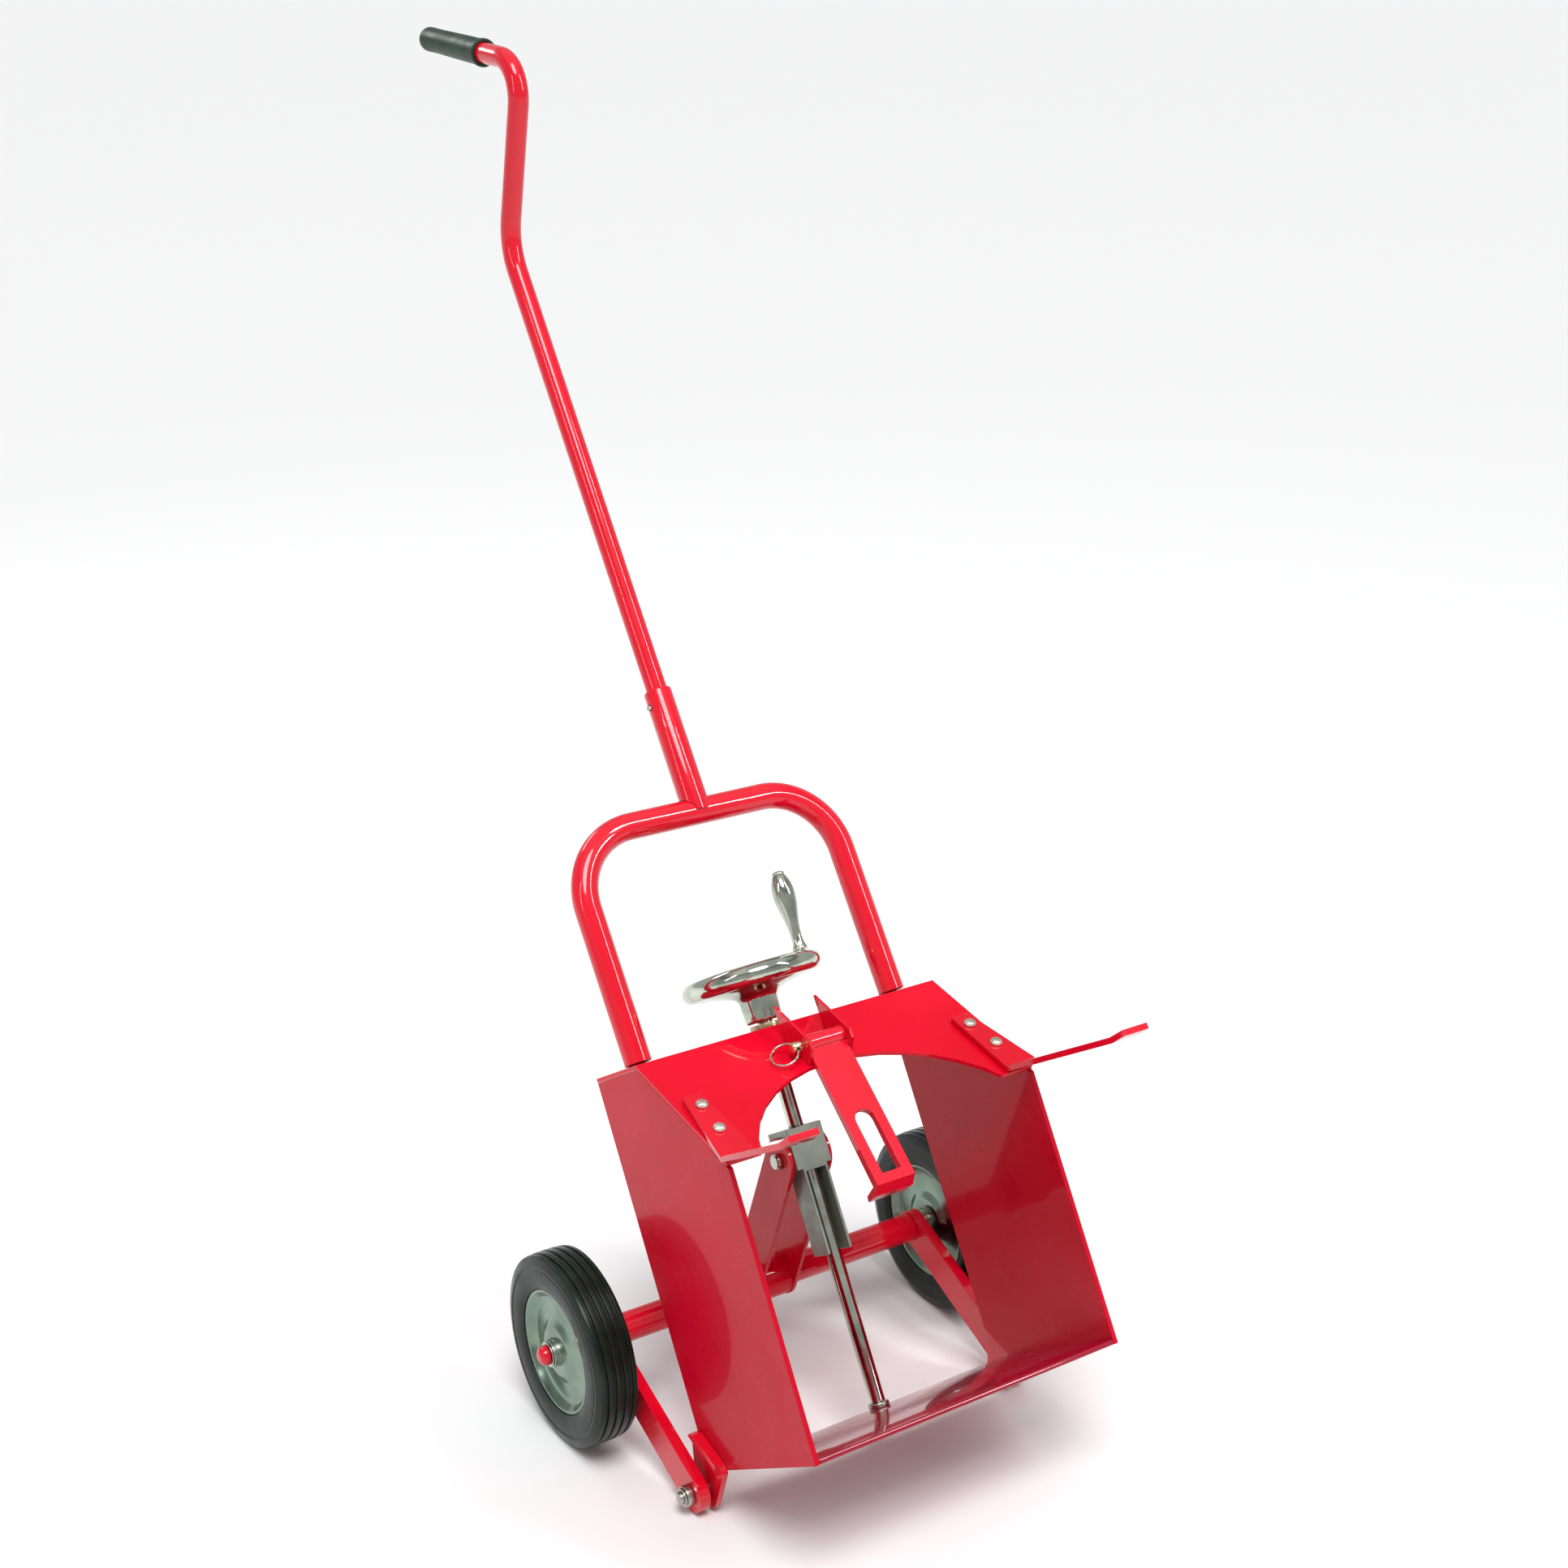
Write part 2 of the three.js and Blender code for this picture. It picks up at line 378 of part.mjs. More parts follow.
// strap bracket on the slope, hook strap, its quick-release pin and ring
const pinAt = [0, ...STRAP_PIN];
{
  const P = (s, h) => onSlope(s, h);
  const ear = [P(95, 0.3), P(94, 20), P(100, 26), P(164, 27), P(138, 0.3)];
  const base = [P(100, 0.3), P(100, 3.3), P(138, 3.3), P(138, 0.3)];
  const m = cut(join(solid(prismX(base, -25.3, 25.3)), solid(prismX(ear, 22.3, 25.3)), solid(prismX(ear, -25.3, -22.3))),
    solid(rod(4.3, -40, 40, pinAt, alongX, 32)));
  add('strap_bracket', m, 'paint');
}
{
  const D = [-0.343, -0.9393], Q = [-0.9393, 0.343];
  const at = (t, q) => [STRAP_PIN[0] + t * D[0] + q * Q[0], STRAP_PIN[1] + t * D[1] + q * Q[1]];
  const lip = [0.89, -0.456], e0 = at(155, -2.5), e1 = at(158, 2.5);
  const arm = [at(0, -2.5), at(0, 2.5), e1, [e1[0] + lip[0] * 12 - 1, e1[1] + lip[1] * 12 - 4.5], [e1[0] + lip[0] * 29, e1[1] + lip[1] * 29 - 1],
    [e0[0] + lip[0] * 22, e0[1] + lip[1] * 22 + 0.5], [e0[0] + lip[0] * 4, e0[1] + lip[1] * 4]];
  let m = join(solid(prismX(arm, -22, 22)), solid(rod(8.5, -22, 22, pinAt, alongX, 32)));
  // slot with a round top, cut across the thickness of the lower arm
  const s0 = at(92, 0), dirQ = [0, Q[0], Q[1]];
  m = cut(m, solid(rod(11, -20, 20, [0, ...s0], dirQ, 32)));
  const slot = [at(92, -15), at(92, 15), at(148, 15), at(148, -15)];
  m = cut(m, solid(prismX(slot, -11, 11)), solid(rod(4.08, -40, 40, pinAt, alongX, 40)));
  add('hook_strap', m, 'paint');
}
{
  const pin = cut(solid(turn([[0, -37.5], [4.0, -37.5], [5.2, -36.2], [5.2, -27], [4.0, -26], [4.0, 27.5], [3.2, 29], [0, 29]], pinAt, alongX, 40)),
    solid(rod(2.8, -12, 12, [-31.9, ...STRAP_PIN], [0, ...U], 20)));
  add('strap_pin', pin, 'brass');
  // wire ring through the pin head, drooping on to the plate
  const R = 14, droop = 24 * Math.PI / 180, n = 20;
  const c = new THREE.Vector3(-31.5, ...STRAP_PIN), u = new THREE.Vector3(0, ...U), nn = new THREE.Vector3(0, ...N);
  const out = new THREE.Vector3(-Math.cos(droop), 0, 0).add(nn.multiplyScalar(-Math.sin(droop)));
  const centre = c.clone().add(out.clone().multiplyScalar(R));
  const g = new THREE.TorusGeometry(R, 1.1, 6, n);
  g.applyMatrix4(new THREE.Matrix4().makeBasis(out, u, out.clone().cross(u)).setPosition(centre));
  add('pin_ring', clean(g), 'chrome');
}

// stand the truck on z = 0 with the origin under the middle of its outline
upright.position.z = FLOOR;
truck.updateMatrixWorld(true);
const outline = new THREE.Box3().setFromObject(truck, true);
upright.position.y = -(outline.min.y + outline.max.y) / 2;
truck.updateMatrixWorld(true);

export default truck;
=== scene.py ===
import json
import math

import bmesh
import bpy
from mathutils import Matrix, Vector

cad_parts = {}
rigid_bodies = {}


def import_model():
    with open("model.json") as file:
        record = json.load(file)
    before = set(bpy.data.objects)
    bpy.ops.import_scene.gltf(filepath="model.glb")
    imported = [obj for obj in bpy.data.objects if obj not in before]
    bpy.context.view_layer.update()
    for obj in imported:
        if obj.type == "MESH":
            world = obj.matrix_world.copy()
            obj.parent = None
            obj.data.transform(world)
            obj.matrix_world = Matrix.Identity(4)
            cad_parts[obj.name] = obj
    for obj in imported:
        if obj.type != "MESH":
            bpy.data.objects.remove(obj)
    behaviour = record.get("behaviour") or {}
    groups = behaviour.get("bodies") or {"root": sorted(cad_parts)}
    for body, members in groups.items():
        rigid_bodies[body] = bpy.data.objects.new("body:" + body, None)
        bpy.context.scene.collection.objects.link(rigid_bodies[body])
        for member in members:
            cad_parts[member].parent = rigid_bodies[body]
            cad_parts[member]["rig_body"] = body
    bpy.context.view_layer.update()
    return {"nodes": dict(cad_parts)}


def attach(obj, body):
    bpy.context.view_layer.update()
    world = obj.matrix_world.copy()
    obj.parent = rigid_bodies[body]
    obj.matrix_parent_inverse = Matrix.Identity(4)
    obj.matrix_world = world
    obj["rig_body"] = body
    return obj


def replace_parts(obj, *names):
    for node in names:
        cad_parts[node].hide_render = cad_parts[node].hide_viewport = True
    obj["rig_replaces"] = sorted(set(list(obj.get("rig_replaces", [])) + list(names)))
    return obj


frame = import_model()
nodes = frame["nodes"]

# ------------------------------------------------------------------ frame
LEAN = math.radians(31.5)
C, S = math.cos(LEAN), math.sin(LEAN)
FLOOR = 0.152837
OFF = -0.52218


def P(x, y, z):
    """A point of the upright drawing, mm, in the row frame, metres."""
    return Vector((x / 1000, (y * C + z * S) / 1000 + OFF, (-y * S + z * C) / 1000 + FLOOR))


UP = Vector((0, S, C))
BACK = Vector((0, C, -S))
RIGHT = Vector((1, 0, 0))

# ------------------------------------------------------------------ camera
cam_data = bpy.data.cameras.new("camera")
cam_data.sensor_width = 36
cam_data.lens = 53.1
cam = bpy.data.objects.new("camera", cam_data)
bpy.context.scene.collection.objects.link(cam)
r = Vector((0.8352, -0.5499, 0.0005)).normalized()
f = Vector((0.5173, 0.7853, -0.3400)).normalized()
u = r.cross(f).normalized()
r = f.cross(u).normalized()
pos = Vector((-1.1577, -1.4351 + OFF, 1.4303))
cam.matrix_world = Matrix((
    (r.x, u.x, -f.x, pos.x),
    (r.y, u.y, -f.y, pos.y),
    (r.z, u.z, -f.z, pos.z),
    (0, 0, 0, 1)))
bpy.context.scene.camera = cam
bpy.context.scene.view_settings.view_transform = "Standard"

# ------------------------------------------------------------------ floor and light


def emission_free(name, color, rough):
    m = bpy.data.materials.new(name)
    m.use_nodes = True
    b = m.node_tree.nodes["Principled BSDF"]
    b.inputs["Base Color"].default_value = (*color, 1)
    b.inputs["Roughness"].default_value = rough
    b.inputs["Specular IOR Level"].default_value = 0.2
    return m


bm = bmesh.new()
for x, y in ((-400, -400), (400, -400), (400, 400), (-400, 400)):
    bm.verts.new((x, y, -0.0005))
bm.faces.new(bm.verts)
floor_mesh = bpy.data.meshes.new("floor")
bm.to_mesh(floor_mesh)
bm.free()
floor = bpy.data.objects.new("floor", floor_mesh)
bpy.context.scene.collection.objects.link(floor)
floor_mesh.materials.append(emission_free("floor_pale", (0.84, 0.84, 0.845), 0.9))

world = bpy.data.worlds.new("world")
bpy.context.scene.world = world
world.use_nodes = True
wn = world.node_tree
bg = wn.nodes["Background"]
geo = wn.nodes.new("ShaderNodeTexCoord")
sep = wn.nodes.new("ShaderNodeSeparateXYZ")
ramp = wn.nodes.new("ShaderNodeValToRGB")
stops = ((0.0, 0.46), (0.47, 0.44), (0.50, 0.46), (0.56, 0.42), (0.66, 0.18), (0.78, 0.50), (0.88, 0.75), (1.0, 0.55))
while len(ramp.color_ramp.elements) < len(stops):
    ramp.color_ramp.elements.new(0.5)
for el, (at, v) in zip(ramp.color_ramp.elements, stops):
    el.position = at
    el.color = (v, v * 1.005, v * 1.01, 1)
wn.links.new(geo.outputs["Generated"], sep.inputs[0])
wn.links.new(sep.outputs["Z"], ramp.inputs[0])
wn.links.new(ramp.outputs["Color"], bg.inputs["Color"])
bg.inputs["Strength"].default_value = 1.0


def area(name, at, look, size, power, color=(1, 1, 1)):
    d = bpy.data.lights.new(name, "AREA")
    d.shape = "RECTANGLE"
    d.size, d.size_y = size
    d.energy = power
    d.color = color
    o = bpy.data.objects.new(name, d)
    bpy.context.scene.collection.objects.link(o)
    o.location = at
    o.rotation_euler = (Vector(look) - Vector(at)).to_track_quat("-Z", "Y").to_euler()
    return o


sun_data = bpy.data.lights.new("sun", "SUN")
sun_data.energy = 2.15
sun_data.angle = math.radians(28)
sun = bpy.data.objects.new("sun", sun_data)
bpy.context.scene.collection.objects.link(sun)
sun.rotation_euler = Vector((0.22, 0.42, -1.0)).to_track_quat("-Z", "Y").to_euler()
area("key", (1.5, -2.0, 2.8), (0, -0.1, 0.6), (0.15, 1.9), 34)
area("side", (-2.6, -0.5, 2.3), (0, 0, 0.6), (0.12, 1.6), 9)
area("back", (-0.6, 2.8, 2.4), (0, 0, 0.6), (1.2, 0.5), 14)

# ------------------------------------------------------------------ materials


class Mat:
    def __init__(self, name, color, metal, rough, **sockets):
        self.m = bpy.data.materials.new(name)
        self.m.use_nodes = True
        self.t = self.m.node_tree
        self.b = self.t.nodes["Principled BSDF"]
        self.b.inputs["Base Color"].default_value = (*color, 1)
        self.b.inputs["Metallic"].default_value = metal
        self.b.inputs["Roughness"].default_value = rough
        for k, v in sockets.items():
            self.b.inputs[k.replace("_", " ")].default_value = v
        self.coord = self.t.nodes.new("ShaderNodeTexCoord").outputs["Object"]

    def link(self, a, b):
        self.t.links.new(a, b)

    def noise(self, scale, detail=3, rough=0.55, stretch=None, distortion=0):
        n = self.t.nodes.new("ShaderNodeTexNoise")
        n.inputs["Scale"].default_value = scale
        n.inputs["Detail"].default_value = detail
        n.inputs["Roughness"].default_value = rough
        n.inputs["Distortion"].default_value = distortion
        if stretch:
            mp = self.t.nodes.new("ShaderNodeMapping")
            mp.inputs["Scale"].default_value = stretch
            mp.inputs["Rotation"].default_value = (-LEAN, 0, 0)
            self.link(self.coord, mp.inputs["Vector"])
            self.link(mp.outputs["Vector"], n.inputs["Vector"])
        else:
            self.link(self.coord, n.inputs["Vector"])
        return n.outputs["Fac"]

    def ramp(self, fac, stops):
        n = self.t.nodes.new("ShaderNodeValToRGB")
        r = n.color_ramp
        while len(r.elements) < len(stops):
            r.elements.new(0.5)
        for el, (p, c) in zip(r.elements, stops):
            el.position = p
            el.color = (*c, 1) if not isinstance(c, (int, float)) else (c, c, c, 1)
        self.link(fac, n.inputs["Fac"])
        return n.outputs["Color"]

    def mix(self, fac, a, b):
        n = self.t.nodes.new("ShaderNodeMix")
        n.data_type = "RGBA"
        if isinstance(fac, (int, float)):
            n.inputs[0].default_value = fac
        else:
            self.link(fac, n.inputs[0])
        for v, sock in ((a, n.inputs[6]), (b, n.inputs[7])):
            if isinstance(v, tuple):
                sock.default_value = (*v, 1)
            else:
                self.link(v, sock)
        return n.outputs[2]

    def to(self, out, socket):
        self.link(out, self.b.inputs[socket])

    def bump(self, height, strength, distance=0.001, normal=None):
        n = self.t.nodes.new("ShaderNodeBump")
        n.inputs["Strength"].default_value = strength
        n.inputs["Distance"].default_value = distance
        self.link(height, n.inputs["Height"])
        if normal is not None:
            self.link(normal, n.inputs["Normal"])
        return n.outputs["Normal"]

    def bevel(self, radius):
        n = self.t.nodes.new("ShaderNodeBevel")
        n.samples = 4
        n.inputs["Radius"].default_value = radius
        return n.outputs["Normal"]

    def edge(self, radius, lo, hi):
        """Where a surface turns: the difference between its rounded and its true normal."""
        bv = self.bevel(radius)
        g = self.t.nodes.new("ShaderNodeNewGeometry")
        d = self.t.nodes.new("ShaderNodeVectorMath")
        d.operation = "DOT_PRODUCT"
        self.link(bv, d.inputs[0])
        self.link(g.outputs["Normal"], d.inputs[1])
        return self.ramp(d.outputs["Value"], ((lo, 1.0), (hi, 0.0)))


# The second argument darkens a whole copy of the one red paint when below 1: painted shade for parts that face away
# from the lamps.
def paint(name="red_paint_gloss", painted_shade_factor=1.0, coat=0.4):
    m = Mat(name, (0.78, 0.003, 0.014), 0.0, 0.36, Coat_Weight=coat, Coat_Roughness=0.04, Specular_IOR_Level=0.08)
    big = m.noise(5, 2)
    base = m.ramp(big, ((0.35, (0.62 * painted_shade_factor, 0.0010, 0.014)), (0.65, (0.71 * painted_shade_factor, 0.0018, 0.020))))
    fine = m.noise(130, 3)
    base = m.mix(m.ramp(fine, ((0.60, 0.0), (0.75, 0.12))), base, (0.46 * painted_shade_factor, 0.001, 0.010))
    wear = m.noise(60, 4, 0.65)
    edge = m.edge(0.0016, 0.86, 0.97)
    mul = m.t.nodes.new("ShaderNodeMath")
    mul.operation = "MULTIPLY"
    m.link(m.ramp(wear, ((0.55, 0.0), (0.66, 0.40))), mul.inputs[0])
    m.link(edge, mul.inputs[1])
    base = m.mix(mul.outputs[0], base, (0.92, 0.07, 0.09))
    m.to(base, "Base Color")
    m.to(m.ramp(m.noise(24, 4), ((0.35, 0.24), (0.7, 0.38))), "Roughness")
    peel = m.noise(420, 2)
    wave = m.noise(14, 2)
    n = m.bump(peel, 0.035, 0.0003, m.bevel(0.0012))
    m.to(m.bump(wave, 0.05, 0.003, n), "Normal")
    return m.m


def plated(name, color, rough, warm=(0.5, 0.47, 0.3), metal=1.0):
    m = Mat(name, color, metal, rough)
    big = m.noise(22, 3)
    dark = tuple(c * 0.72 for c in color)
    base = m.ramp(big, ((0.35, dark), (0.65, color)))
    tint = m.noise(48, 3, 0.6, None, 0.6)
    base = m.mix(m.ramp(tint, ((0.52, 0.0), (0.72, 0.35))), base, warm)
    spot = m.noise(260, 3)
    base = m.mix(m.ramp(spot, ((0.62, 0.0), (0.78, 0.16))), base, (0.16, 0.15, 0.12))
    m.to(base, "Base Color")
    m.to(m.ramp(m.noise(90, 4), ((0.3, rough * 0.75), (0.7, min(1, rough * 1.45)))), "Roughness")
    brush = m.noise(90, 2, 0.5, (1, 1, 9))
    m.to(m.bump(brush, 0.05, 0.0004, m.bevel(0.0007)), "Normal")
    return m.m


def polished(name="chrome_polished"):
    m = Mat(name, (0.82, 0.83, 0.81), 1.0, 0.08)
    base = m.ramp(m.noise(30, 3), ((0.35, (0.38, 0.43, 0.36)), (0.65, (0.66, 0.71, 0.60))))
    base = m.mix(m.ramp(m.noise(110, 4, 0.6), ((0.60, 0.0), (0.75, 0.30))), base, (0.40, 0.36, 0.24))
    m.to(base, "Base Color")
    m.to(m.ramp(m.noise(60, 4), ((0.35, 0.04), (0.75, 0.13))), "Roughness")
    m.to(m.bump(m.noise(40, 2), 0.07, 0.0016, m.bevel(0.0008)), "Normal")
    return m.m


def rubber(name, color, rough, grain=700):
    m = Mat(name, color, 0.0, rough, Specular_IOR_Level=0.25)
    dust = tuple(min(1, c * 1.8 + 0.006) for c in color)
    base = m.ramp(m.noise(26, 4, 0.6), ((0.38, color), (0.72, dust)))
    edge = m.edge(0.002, 0.88, 0.98)
    mul = m.t.nodes.new("ShaderNodeMath")
    mul.operation = "MULTIPLY"
    m.link(m.ramp(m.noise(70, 4, 0.6), ((0.45, 0.0), (0.62, 0.6))), mul.inputs[0])
    m.link(edge, mul.inputs[1])
    base = m.mix(mul.outputs[0], base, tuple(c * 2.4 + 0.02 for c in color))
    m.to(base, "Base Color")
    m.to(m.ramp(m.noise(50, 3), ((0.3, rough * 0.8), (0.7, min(1, rough * 1.25)))), "Roughness")
    m.to(m.bump(m.noise(grain, 3), 0.16, 0.0005, m.bevel(0.0012)), "Normal")
    return m.m


RED = paint()
# The shelf takes a much darker copy of the same red paint: painted shade.
SHELF_PAINTED_SHADE = paint("red_paint_shelf_painted_shade", 0.42, 1.0)
# The side plates take a darker copy of the same red paint: painted shade for faces turned away from the lamps.
PLATE_PAINTED_SHADE = paint("red_paint_side_painted_shade", 0.80, 0.26)
TUBE = paint("red_paint_tube", 1.0, 1.0)
ZINC = plated("zinc_plate_satin", (0.60, 0.62, 0.56), 0.26)
DISC = plated("wheel_disc_plate", (0.26, 0.36, 0.29), 0.20, (0.34, 0.38, 0.20))
GREY = plated("nut_plate_grey", (0.30, 0.37, 0.31), 0.34, (0.26, 0.29, 0.22), 0.55)
CREAM = plated("bolt_plate_cream", (0.90, 0.86, 0.76), 0.33, (0.8, 0.70, 0.45))
BRASS = plated("pin_plate_gold", (0.88, 0.76, 0.46), 0.22, (0.9, 0.84, 0.7))
BRONZE = plated("bearing_bronze", (0.52, 0.43, 0.25), 0.30, (0.62, 0.6, 0.5))
CHROME = polished()
TYRE = rubber("tyre_rubber_black", (0.004, 0.009, 0.006), 0.30, 420)
GRIP = rubber("grip_rubber_green_black", (0.010, 0.030, 0.017), 0.42, 900)


def give(name, mat):
    o = nodes[name]
    o.data.materials.clear()
    o.data.materials.append(mat)


for n in nodes:
    if "tyre" in n:
        give(n, TYRE)
    elif n == "handle_grip":
        give(n, GRIP)
    elif n in ("screw_rod", "handwheel", "spinner_handle", "pin_ring", "handwheel_nut"):
        give(n, CHROME)
    elif n == "upper_screw_bearing":
        give(n, BRONZE)
    elif n == "strap_pin":
        give(n, BRASS)
    elif "disc" in n:
        give(n, DISC)
    elif n == "nut_carriage":
        give(n, GREY)
    elif "prong_bolt" in n or "prong_nut" in n:
        give(n, CREAM)
    elif any(k in n for k in ("wheel_", "pivot_pin", "collar", "clip", "bolt", "_nut", "boss", "button", "spring", "spinner_pin")):
        give(n, ZINC)
    elif n == "shelf_plate":
        give(n, SHELF_PAINTED_SHADE)
    elif "side_plate" in n:
        give(n, PLATE_PAINTED_SHADE)
    elif n in ("loop_tube", "handle_tube", "handle_socket", "axle", "hook_strap", "strap_bracket") or "_arm" in n or "prong" in n or "bracket" in n or "cap" in n:
        give(n, TUBE)
    else:
        give(n, RED)

# ------------------------------------------------------------------ finer pieces, in the upright drawing's mm
AXLE, PIVOT, NUT, PIN = (333.5, 142.4), (222.8, -18.9), (185, 260), (73, 364)
SCREW_Y = 174.8
TYRE_IN, TYRE_OUT, RIM_R = 209, 255, 64.4
U2 = Vector((0.7504, 0.6611))


def way(x, y, z):
    return RIGHT * x + BACK * y + UP * z


def build(name, bm, node, limit=34, mat=None, more=()):
    bmesh.ops.recalc_face_normals(bm, faces=bm.faces)
    for fc in bm.faces:
        fc.smooth = True
    for ed in bm.edges:
        if len(ed.link_faces) == 2:
            ed.smooth = ed.calc_face_angle(0) < math.radians(limit)
    me = bpy.data.meshes.new(name)
    bm.to_mesh(me)
    bm.free()
    o = bpy.data.objects.new(name, me)
    bpy.context.scene.collection.objects.link(o)
    src = nodes[node]
    me.materials.append(mat or src.data.materials[0])
    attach(o, src["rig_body"])
    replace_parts(o, node, *more)
    return o


def soften(profile, rad, n=3):
    """Rounds the corners of a closed or axis-to-axis profile."""
    pts = [Vector(p) for p in profile]
    closed = (pts[0] - pts[-1]).length < 1e-6
    if closed:
        pts = pts[:-1]
    out = []
    m = len(pts)
    for i, p in enumerate(pts):
        if not closed and (i == 0 or i == m - 1):
            out.append(p)
            continue
        a, b = pts[i - 1], pts[(i + 1) % m]
        da, db = a - p, b - p
        la, lb = da.length, db.length
        if la < 1e-6 or lb < 1e-6:
            out.append(p)
            continue
        turn_angle = math.pi - da.angle(db)
        if turn_angle < math.radians(12):
            out.append(p)
            continue
        k = min(rad, la * 0.42, lb * 0.42)
        p0, p1 = p + da / la * k, p + db / lb * k
        for j in range(n + 1):
            t = j / n
            out.append(p0 * (1 - t) ** 2 + p * 2 * t * (1 - t) + p1 * t * t)
    if closed:
        out.append(out[0].copy())
    return out


def turned(name, node, profile, at, along, seg=64, rad=0.5, mat=None, limit=34):
    d = Vector(along).normalized()
    a = d.orthogonal().normalized()
    b = d.cross(a)
    prof = soften(profile, rad)
    closed = (prof[0] - prof[-1]).length < 1e-6
    if closed:
        prof = prof[:-1]
    bm = bmesh.new()
    rings = []
    for rr, t in prof:
        c = P(*at) + d * (t / 1000)
        if rr < 1e-4:
            rings.append([bm.verts.new(c)])
        else:
            rings.append([bm.verts.new(c + (a * math.cos(w) + b * math.sin(w)) * (rr / 1000))
                          for w in (2 * math.pi * k / seg for k in range(seg))])
    pairs = list(zip(rings, rings[1:]))
    if closed:
        pairs.append((rings[-1], rings[0]))
    for r0, r1 in pairs:
        if len(r0) == 1 and len(r1) == 1:
            continue
        for k in range(seg):
            n = (k + 1) % seg
            if len(r0) == 1:
                bm.faces.new((r0[0], r1[n], r1[k]))
            elif len(r1) == 1:
                bm.faces.new((r0[k], r0[n], r1[0]))
            else:
                bm.faces.new((r0[k], r0[n], r1[n], r1[k]))
    return build(name, bm, node, limit, mat)


def ring(name, node, r0, r1, t0, t1, at, along, seg=64, rad=0.5, mat=None):
    return turned(name, node, [(r0, t0), (r1, t0), (r1, t1), (r0, t1), (r0, t0)], at, along, seg, rad, mat)


def bent(points, radii, n=18):
    v = [Vector(p) for p in points]
    out = [v[0]]
    for i in range(1, len(v) - 1):
        a = (v[i - 1] - v[i]).normalized()
        b = (v[i + 1] - v[i]).normalized()
        half = a.angle(b) / 2
        R = radii[i - 1]
        dd = R / math.tan(half)
        c = v[i] + (a + b).normalized() * (R / math.sin(half))
        p0 = v[i] + a * dd
        r0 = p0 - c
        ax = r0.cross(v[i] + b * dd - c).normalized()
        ang = math.pi - 2 * half
        for k in range(n + 1):
            out.append(c + Matrix.Rotation(ang * k / n, 3, ax) @ r0)
    out.append(v[-1])
    return out


def swept(name, node, pts, rr, inner, seg=40, mat=None, ends=1.0):
    """A tube along local mm points, with open, slightly rounded ends."""
    pts = [P(*p) for p in pts]
    t0 = (pts[1] - pts[0]).normalized()
    nrm = t0.orthogonal().normalized()
    bm = bmesh.new()
    outer, inn = [], []
    for i, p in enumerate(pts):
        if i == 0:
            t = t0
        elif i == len(pts) - 1:
            t = (pts[i] - pts[i - 1]).normalized()
        else:
            t = ((pts[i] - pts[i - 1]).normalized() + (pts[i + 1] - pts[i]).normalized()).normalized()
        nrm = (nrm - t * nrm.dot(t)).normalized()
        b = t.cross(nrm)
        def circle(radius, shift=0.0):
            return [bm.verts.new(p + t * shift + (nrm * math.cos(w) + b * math.sin(w)) * radius)
                    for w in (2 * math.pi * k / seg for k in range(seg))]
        R, I = rr / 1000, inner / 1000
        if i == 0:
            outer += [circle(R - 0.0005, 0), circle(R, 0.0005)]
            inn += [circle(I, 0)]
        elif i == len(pts) - 1:
            outer += [circle(R, -0.0005), circle(R - 0.0005, 0)]
            inn += [circle(I, 0)]
        else:
            outer.append(circle(R))
            inn.append(circle(I))
    for rings in (outer, inn):
        for r0, r1 in zip(rings, rings[1:]):
            for k in range(seg):
                n = (k + 1) % seg
                bm.faces.new((r0[k], r0[n], r1[n], r1[k]))
    for r0, r1 in ((outer[0], inn[0]), (outer[-1], inn[-1])):
        for k in range(seg):
            n = (k + 1) % seg
            bm.faces.new((r0[k], r0[n], r1[n], r1[k]))
    return build(name, bm, node, 34, mat)


def crown(t):
    return 100 - 0.9 * (2 * (t - (TYRE_IN + TYRE_OUT) / 2) / (TYRE_OUT - TYRE_IN)) ** 2


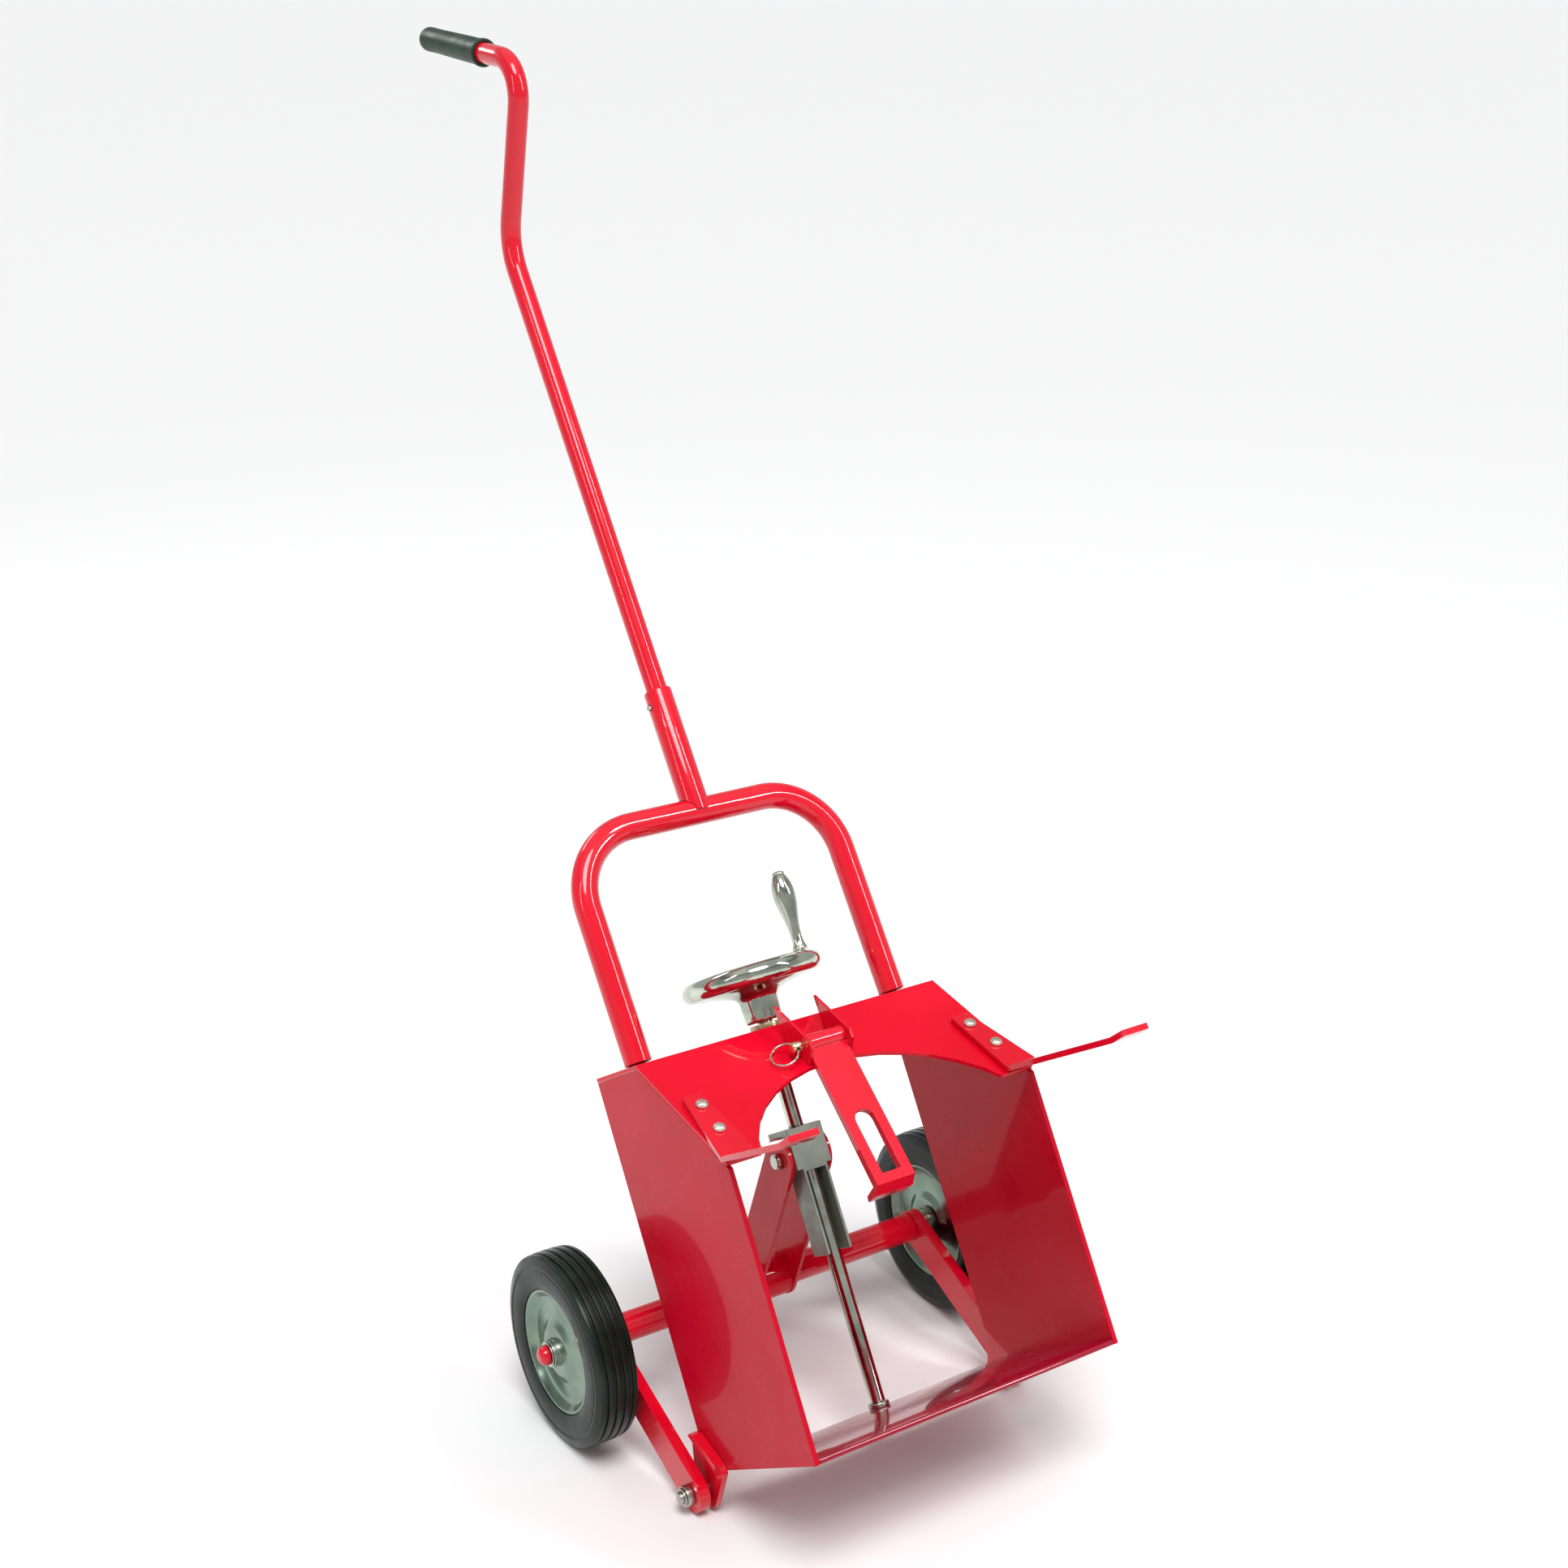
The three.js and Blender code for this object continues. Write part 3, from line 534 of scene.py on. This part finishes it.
for side, sg in (("left", -1), ("right", 1)):
    ax = way(sg, 0, 0)
    A = (0, *AXLE)
    w0, w1 = TYRE_IN, TYRE_OUT
    tread = [(65, w0 + 2), (74, w0), (90, w0), (96.5, w0 + 2.2), (98.7, w0 + 3.2)]
    grooves = [w0 + (w1 - w0) * q for q in (0.2, 0.4, 0.6, 0.8)]
    for g in grooves:
        tread += [(crown(g - 1.5), g - 1.5), (crown(g) - 3.0, g - 0.9), (crown(g) - 3.0, g + 0.9), (crown(g + 1.5), g + 1.5)]
    tread += [(98.7, w1 - 3.2), (96.5, w1 - 2.2), (90, w1), (87.5, w1), (87.0, w1 - 0.5), (86.0, w1 - 0.5), (85.5, w1),
              (74, w1), (70, w1 - 0.8), (65, w1 - 2), (65, w0 + 2)]
    turned(side + "_tyre_fine", side + "_tyre", tread, A, ax, 112, 0.7, TYRE, 50)
    mid = (w0 + w1) / 2
    for where, q in (("outer", 1), ("inner", -1)):
        disc = [(14.3, 15.5), (20, 15.4), (26, 14.5), (30, 12.2), (34, 10.2), (43, 8.6), (52, 8.2), (56, 9.8), (60, 14.0), (61.6, 16.0),
                (62.6, 16.2), (RIM_R, 16.2), (RIM_R, 0.3), (62.8, 0.3), (62.8, 14.0), (59.4, 12.2), (53.2, 6.2), (43, 6.6),
                (33.2, 8.2), (25.2, 12.5), (14.3, 13.5), (14.3, 15.5)]
        turned(f"{side}_{where}_disc_fine", f"{side}_wheel_{where}_disc", [(r_, mid + q * (t_ + 4 if t_ > 1 else t_)) for r_, t_ in disc], A, ax, 96, 0.6, DISC, 50)
    ring(side + "_hub_fine", side + "_wheel_hub", 8.09, 14, 205.2, TYRE_OUT + 3.6, A, ax)
    ring(side + "_washer_fine", side + "_wheel_washer", 8.3, 13, TYRE_OUT + 4.0, TYRE_OUT + 5.6, A, ax, 48, 0.3)
    turned(side + "_cap_fine", side + "_axle_cap", [(0, 270.5), (5.5, 269.8), (8.8, 267.5), (10, 264.5), (10.4, 261.2), (8.35, 261.2), (8.35, 266), (0, 266)], A, ax, 48, 0.8)
    pv = (0, *PIVOT)
    turned(side + "_pivot_pin_fine", side + "_pivot_pin", [(0, 171), (8.5, 171), (10, 172.5), (10, 178), (5.97, 178), (5.97, 214), (5, 215.4), (0, 215.4)], pv, ax, 48, 0.4)
    ring(side + "_collar_fine", side + "_pivot_collar", 6.27, 10.5, 202.4, 209.8, pv, ax, 48, 0.7)
    ring(side + "_clip_fine", side + "_pivot_clip", 6.27, 9.0, 210.2, 212.0, pv, ax, 48, 0.4)
    turned(side + "_link_bolt_fine", side + "_link_bolt", [(0, 14), (5, 14), (5, 25.3), (8.4, 25.3), (8.4, 29.4), (7, 31), (0, 31)], (0, *NUT), ax, 48, 0.5)
    h1 = 6.3
    for k, (x, s_) in enumerate(((158, 78), (162, 40))):
        where = "lower" if k else "upper"
        y, z = 0 + s_ * U2.x, 280 + s_ * U2.y
        turned(f"{side}_{where}_bolt_fine", f"{side}_{where}_prong_bolt",
               [(0, -12), (3, -12), (3, h1 + 0.3), (6.2, h1 + 0.3), (6.2, h1 + 2.2), (4.6, h1 + 4.2), (2.2, h1 + 5.0), (0, h1 + 5.1)],
               (sg * x, y, z), way(0, -0.6611, 0.7504), 40, 0.5, CREAM)

turned("axle_fine", "axle", [(0, -264.5), (7, -264.5), (8, -263.5), (8, -204.8), (10, -204.8), (10, -189.6), (15.5, -189.6),
                             (15.5, 189.6), (10, 189.6), (10, 204.8), (8, 204.8), (8, 263.5), (7, 264.5), (0, 264.5)], (0, *AXLE), way(1, 0, 0), 56, 0.8)
sy = (0, SCREW_Y, 0)
ring("foot_boss_fine", "lower_screw_boss", 5.08, 11, -0.6, 4.2, sy, UP, 48, 1.0)
turned("screw_fine", "screw_rod", [(0, 0.2), (5, 0.2), (5, 4.8), (8, 4.8), (8, 376), (12, 376), (12, 382.4), (8, 382.4), (8, 443), (7, 444.5), (0, 444.5)], sy, UP, 48, 0.5)
turned("bearing_fine", "upper_screw_bearing", [(8.08, 383), (11.7, 383), (11.7, 391.3), (17, 391.3), (17, 396.8), (8.08, 396.8), (8.08, 383)], sy, UP, 48, 0.5)
rim = [(63.5 + 10.5 * math.cos(math.radians(w)), 445.6 + 10.5 * math.sin(math.radians(w))) for w in range(240, 501, 10)]
turned("handwheel_fine", "handwheel", [(8.3, 399), (18, 399), (19.4, 401), (20.0, 412), (20.4, 423), (22.6, 426.4), (27, 428.6), (36, 431.0), (46, 433.0), (54, 435.2)] + rim +
       [(51, 442.4), (46, 439.6), (34, 436.4), (24, 434), (18, 432.6), (8.3, 432.6), (8.3, 399)], sy, UP, 120, 1.0, None, 60)
spin = (35, SCREW_Y - 50, 0)
turned("spinner_pin_fine", "spinner_pin", [(0, 439.5), (4, 439.5), (4, 535.6), (6.4, 535.6), (6.4, 538), (4, 539.6), (0, 540)], spin, UP, 40, 0.5)
turned("spinner_fine", "spinner_handle", [(4.08, 456.8), (7.6, 456.8), (8.0, 458.0), (8.0, 459.4), (6.9, 461.5), (6.0, 465), (5.6, 470), (5.6, 475), (6.2, 481), (7.2, 488), (8.6, 495),
                                          (10.0, 502), (11.0, 508), (11.4, 513), (11.4, 517.5), (11.0, 522), (10.2, 526.4), (9.0, 530), (6.8, 535.2), (4.08, 535.2), (4.08, 456.8)], spin, UP, 56, 0.6, None, 60)


TILT = math.radians(4.37)


def lt(x, v):
    return (x, 169.0 + v * math.sin(TILT), 391.4 + v * math.cos(TILT))


swept("loop_fine", "loop_tube", bent([lt(-153, 1.5), lt(-153, 236), lt(153, 236), lt(153, 1.5)], [74, 74], 24), 14, 12, 48)
hp = lambda z: (0, 195.2 + 0.0659 * (z - 770.9), z)
handle = swept("handle_fine", "handle_tube", bent([hp(657), (0, 228.9, 1281.4), (0, 91.2, 1422.3), (0, 268.5, 1550.4)], [70, 40], 24), 11.2, 9.4, 44)
# the button's hole through the left wall of the handle tube
cut = bmesh.new()
bmesh.ops.create_cone(cut, cap_ends=True, segments=40, radius1=0.0036, radius2=0.0036, depth=0.02,
                      matrix=Matrix.Translation(P(-15, hp(744)[1], 744)) @ Matrix.Rotation(math.pi / 2, 4, "Y"))
cut_mesh = bpy.data.meshes.new("button_hole")
cut.to_mesh(cut_mesh)
cut.free()
cutter = bpy.data.objects.new("button_hole", cut_mesh)
bpy.context.scene.collection.objects.link(cutter)
hole = handle.modifiers.new("hole", "BOOLEAN")
hole.operation = "DIFFERENCE"
hole.solver = "EXACT"
hole.object = cutter
bpy.context.view_layer.update()
holed = bpy.data.meshes.new_from_object(handle.evaluated_get(bpy.context.evaluated_depsgraph_get()))
handle.modifiers.clear()
handle.data = holed
bpy.data.objects.remove(cutter)
gd = Vector((0, 268.5 - 91.2, 1550.4 - 1422.3)).normalized()
g0 = Vector((0, 268.5, 1550.4)) + gd * (4.6 - 138)
L = 138
turned("grip_fine", "handle_grip", [(0, L), (7, L), (10, L - 0.4), (12.2, L - 2.0), (13.2, L - 5), (13.0, L - 30), (13.8, 40), (13.8, 8), (14.4, 6), (15.0, 5), (15.0, 0), (11.5, 0), (11.5, L - 4.2), (0, L - 4.2)],
       tuple(g0), way(*gd), 56, 1.2, None, 50)

# ------------------------------------------------------------------ the other pieces: same shape, rounded edges
done = {n for o in bpy.data.objects for n in (o.get("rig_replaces") or [])}
for n, o in nodes.items():
    if n in done or o.hide_render:
        continue
    bm = bmesh.new()
    bm.from_mesh(o.data)
    bmesh.ops.remove_doubles(bm, verts=bm.verts, dist=2e-6)
    bmesh.ops.dissolve_limit(bm, angle_limit=math.radians(0.6), verts=bm.verts, edges=bm.edges)
    p = build(n + "_rounded", bm, n, 31)
    bev = p.modifiers.new("edges", "BEVEL")
    bev.width = 0.0006
    bev.segments = 2
    bev.limit_method = "ANGLE"
    bev.angle_limit = math.radians(35)
    bev.harden_normals = True
